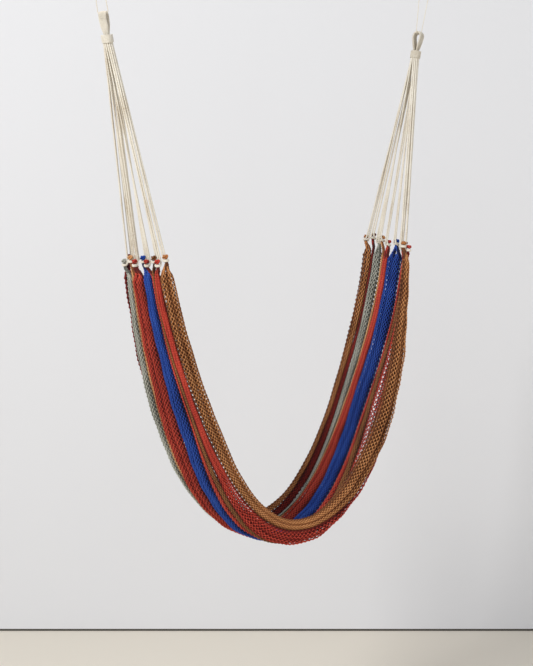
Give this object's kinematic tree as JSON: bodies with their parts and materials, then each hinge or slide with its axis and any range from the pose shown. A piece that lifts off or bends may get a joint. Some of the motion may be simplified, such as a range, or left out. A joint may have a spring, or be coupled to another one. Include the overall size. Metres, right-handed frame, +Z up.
{
  "type": "rope hammock",
  "caption": "Net hammock in coloured cotton stripes, gathered into a narrow trough, on two cord harnesses hung from ceiling brackets",
  "frame": {"origin": "on the ceiling plane, the plane of both plates' top faces, midway between the two ceiling brackets", "axes": "+X along the hanging line from the left bracket to the right one, +Y across the bed to its far side, +Z up"},
  "size_m": [1.3056, 0.3232, 1.6978],
  "materials": {
    "tan_yarn": "knotted twisted cotton netting, tan",
    "maroon_yarn": "knotted twisted cotton netting, dark red",
    "red_yarn": "knotted twisted cotton netting, brick red",
    "grey_yarn": "knotted twisted cotton netting, grey",
    "blue_yarn": "knotted twisted cotton netting, blue",
    "cotton_cord": "undyed twisted cotton cord",
    "bracket_steel": "plain coated steel"
  },
  "bodies": {
    "ceiling_brackets": {"left_bracket": "bracket_steel", "right_bracket": "bracket_steel"},
    "hammock": {"stripe_01_tan": "tan_yarn", "stripe_02_maroon": "maroon_yarn", "stripe_03_grey": "grey_yarn", "stripe_04_tan": "tan_yarn", "stripe_05_red": "red_yarn", "stripe_06_blue": "blue_yarn", "stripe_07_red": "red_yarn", "stripe_08_tan": "tan_yarn", "stripe_09_red": "red_yarn", "stripe_10_tan": "tan_yarn", "left_knot_01": "tan_yarn", "left_harness_cord_01": "cotton_cord", "left_knot_02": "maroon_yarn", "left_harness_cord_02": "cotton_cord", "left_knot_03": "grey_yarn", "left_harness_cord_03": "cotton_cord", "left_knot_04": "tan_yarn", "left_harness_cord_04": "cotton_cord", "left_knot_05": "red_yarn", "left_harness_cord_05": "cotton_cord", "left_knot_06": "blue_yarn", "left_harness_cord_06": "cotton_cord", "left_knot_07": "red_yarn", "left_harness_cord_07": "cotton_cord", "left_knot_08": "tan_yarn", "left_harness_cord_08": "cotton_cord", "left_knot_09": "red_yarn", "left_harness_cord_09": "cotton_cord", "left_knot_10": "tan_yarn", "left_harness_cord_10": "cotton_cord", "left_eye": "cotton_cord", "left_eye_binding": "cotton_cord", "left_hanging_cord": "cotton_cord", "right_knot_01": "tan_yarn", "right_harness_cord_01": "cotton_cord", "right_knot_02": "maroon_yarn", "right_harness_cord_02": "cotton_cord", "right_knot_03": "grey_yarn", "right_harness_cord_03": "cotton_cord", "right_knot_04": "tan_yarn", "right_harness_cord_04": "cotton_cord", "right_knot_05": "red_yarn", "right_harness_cord_05": "cotton_cord", "right_knot_06": "blue_yarn", "right_harness_cord_06": "cotton_cord", "right_knot_07": "red_yarn", "right_harness_cord_07": "cotton_cord", "right_knot_08": "tan_yarn", "right_harness_cord_08": "cotton_cord", "right_knot_09": "red_yarn", "right_harness_cord_09": "cotton_cord", "right_knot_10": "tan_yarn", "right_harness_cord_10": "cotton_cord", "right_eye": "cotton_cord", "right_eye_binding": "cotton_cord", "right_hanging_cord": "cotton_cord"}
  },
  "joints": [
    {"name": "swing", "type": "hinge", "parent": "ceiling_brackets", "child": "hammock", "pos_m": [0, 0, -0.04], "axis": [1, 0, 0], "range_deg": [-45, 45]}
  ]
}
